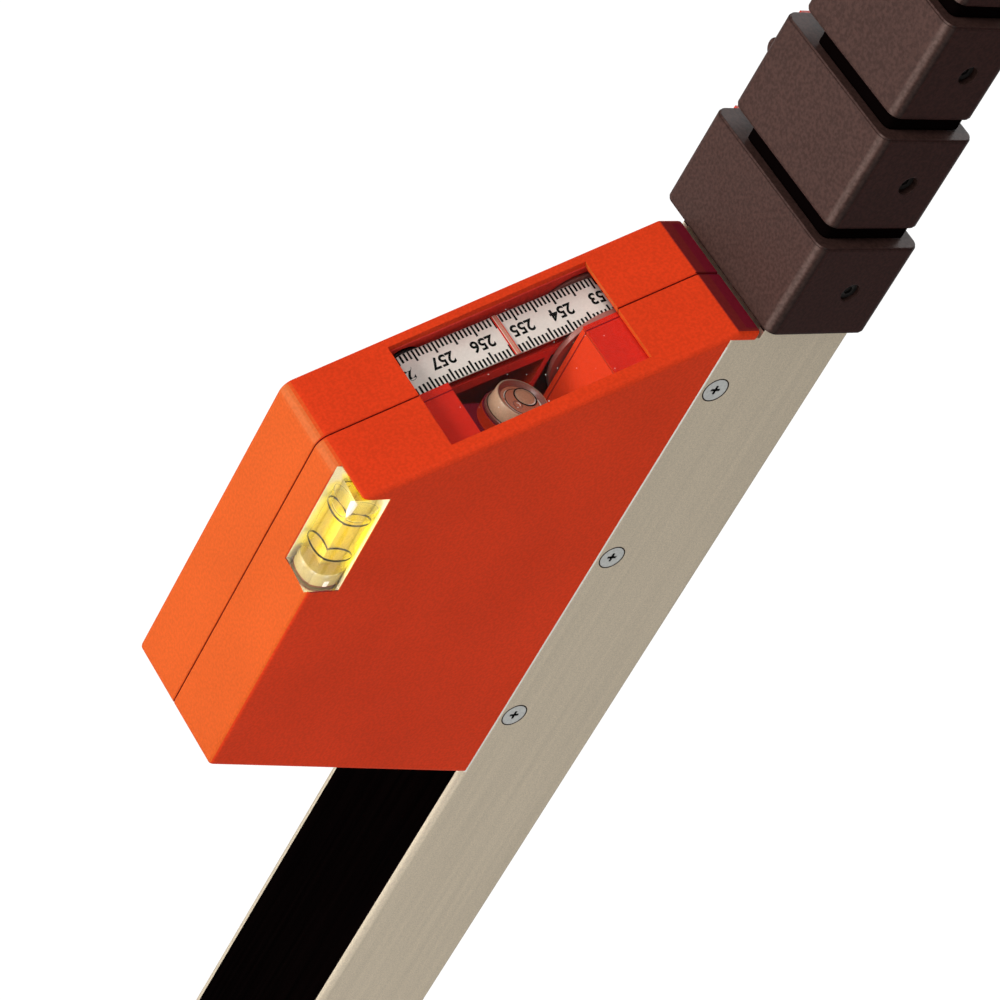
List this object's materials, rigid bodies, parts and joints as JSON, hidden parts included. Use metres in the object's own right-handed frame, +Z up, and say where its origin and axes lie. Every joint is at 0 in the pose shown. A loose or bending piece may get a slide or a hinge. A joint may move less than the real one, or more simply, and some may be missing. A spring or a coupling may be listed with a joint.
{
  "type": "telescopic measuring rod",
  "caption": "Telescopic measuring rod with sliding tube sections, lock levers, and a slanted housing whose window shows the tape, a round level and a block level.",
  "frame": {"origin": "centre of the underside of the foot", "axes": "+Z up the rod, its longest extent; -Y towards the front of the reading housing; +X towards the side with the housing screws and the block level"},
  "size_m": [0.053, 0.12, 0.7],
  "materials": {
    "black_plastic": "matte",
    "black_strip": "matte",
    "brown_plastic": "satin",
    "clear": "clear",
    "collar_plastic": "satin",
    "level_clear": "clear",
    "red_plastic": "satin",
    "silver": "satin anodised",
    "spring_steel": "blued",
    "steel": "plain",
    "tape": "matte",
    "vial_clear": "clear",
    "vial_yellow": "clear liquid"
  },
  "bodies": {
    "base": {"base_profile": "silver", "cover_strip": "black_strip", "foot_block": "black_plastic", "foot_plate": "steel", "foot_screws": "steel", "return_roller_pin": "steel", "shell_right": "red_plastic", "shell_left": "red_plastic", "shell_screws": "steel", "profile_screws": "steel", "window_pane": "clear", "reading_tape": "tape", "guide_wheel_pin": "steel", "guide_roller_pin": "steel", "return_spring": "spring_steel", "reel_axle": "steel", "vial_block": "vial_clear", "vial_liquid": "vial_yellow", "round_level": "level_clear", "collar_1": "collar_plastic", "collar_screws_1": "steel", "lock_pin_1": "steel"},
    "reel": {"tape_reel": "black_plastic", "wound_tape": "tape"},
    "wheel": {"guide_wheel": "brown_plastic"},
    "upper_roller": {"guide_roller": "black_plastic"},
    "lower_roller": {"return_roller": "black_plastic"},
    "stage_2": {"section_2": "silver", "guide_shoe_2": "black_plastic", "collar_2": "collar_plastic", "collar_screws_2": "steel", "lock_pin_2": "steel"},
    "stage_3": {"section_3": "silver", "guide_shoe_3": "black_plastic", "collar_3": "collar_plastic", "collar_screws_3": "steel", "lock_pin_3": "steel"},
    "stage_4": {"section_4": "silver", "guide_shoe_4": "black_plastic", "collar_4": "collar_plastic", "collar_screws_4": "steel", "lock_pin_4": "steel"},
    "stage_5": {"section_5": "silver", "guide_shoe_5": "black_plastic", "collar_5": "collar_plastic", "collar_screws_5": "steel", "lock_pin_5": "steel"},
    "stage_6": {"section_6": "silver", "guide_shoe_6": "black_plastic", "end_cap": "collar_plastic", "cap_screws": "steel"},
    "lever_1": {"lock_lever_1": "red_plastic"},
    "lever_2": {"lock_lever_2": "red_plastic"},
    "lever_3": {"lock_lever_3": "red_plastic"},
    "lever_4": {"lock_lever_4": "red_plastic"},
    "lever_5": {"lock_lever_5": "red_plastic"}
  },
  "joints": [
    {"name": "slide_2", "type": "slide", "parent": "base", "child": "stage_2", "axis": [0, 0, 1], "range_m": [0, 0.468]},
    {"name": "slide_3", "type": "slide", "parent": "stage_2", "child": "stage_3", "axis": [0, 0, 1], "range_m": [0, 0.468]},
    {"name": "slide_4", "type": "slide", "parent": "stage_3", "child": "stage_4", "axis": [0, 0, 1], "range_m": [0, 0.468]},
    {"name": "slide_5", "type": "slide", "parent": "stage_4", "child": "stage_5", "axis": [0, 0, 1], "range_m": [0, 0.468]},
    {"name": "slide_6", "type": "slide", "parent": "stage_5", "child": "stage_6", "axis": [0, 0, 1], "range_m": [0, 0.468]},
    {"name": "lock_1", "type": "hinge", "parent": "base", "child": "lever_1", "pos_m": [-0.0296, 0.00535, 0.551], "axis": [0, -1, 0], "range_deg": [0, 7], "stiffness_Nm_per_rad": 0.06, "springref_deg": -5.73},
    {"name": "lock_2", "type": "hinge", "parent": "stage_2", "child": "lever_2", "pos_m": [-0.0274, 0.00535, 0.581], "axis": [0, -1, 0], "range_deg": [0, 7], "stiffness_Nm_per_rad": 0.06, "springref_deg": -5.73},
    {"name": "lock_3", "type": "hinge", "parent": "stage_3", "child": "lever_3", "pos_m": [-0.0252, 0.00535, 0.611], "axis": [0, -1, 0], "range_deg": [0, 7], "stiffness_Nm_per_rad": 0.06, "springref_deg": -5.73},
    {"name": "lock_4", "type": "hinge", "parent": "stage_4", "child": "lever_4", "pos_m": [-0.023, 0.00535, 0.641], "axis": [0, -1, 0], "range_deg": [0, 7], "stiffness_Nm_per_rad": 0.06, "springref_deg": -5.73},
    {"name": "lock_5", "type": "hinge", "parent": "stage_5", "child": "lever_5", "pos_m": [-0.0208, 0.00535, 0.671], "axis": [0, -1, 0], "range_deg": [0, 7], "stiffness_Nm_per_rad": 0.06, "springref_deg": -5.73},
    {"name": "reel_turn", "type": "hinge", "parent": "base", "child": "reel", "pos_m": [0, -0.0562, 0.44198], "axis": [-1, 0, 0], "continuous": true},
    {"name": "wheel_turn", "type": "hinge", "parent": "base", "child": "wheel", "pos_m": [0, -0.02613, 0.50979], "axis": [-1, 0, 0], "continuous": true},
    {"name": "upper_roller_turn", "type": "hinge", "parent": "base", "child": "upper_roller", "pos_m": [0, -0.06887, 0.49564], "axis": [-1, 0, 0], "continuous": true},
    {"name": "lower_roller_turn", "type": "hinge", "parent": "base", "child": "lower_roller", "pos_m": [0, -0.00429, 0.01414], "axis": [1, 0, 0], "continuous": true}
  ],
  "couplings": [
    {"joint": "reel_turn", "follows": "slide_6", "rad_per_m": 37.665},
    {"joint": "wheel_turn", "follows": "slide_6", "rad_per_m": 81.967},
    {"joint": "upper_roller_turn", "follows": "slide_6", "rad_per_m": 238.09},
    {"joint": "lower_roller_turn", "follows": "slide_6", "rad_per_m": 103.73}
  ]
}
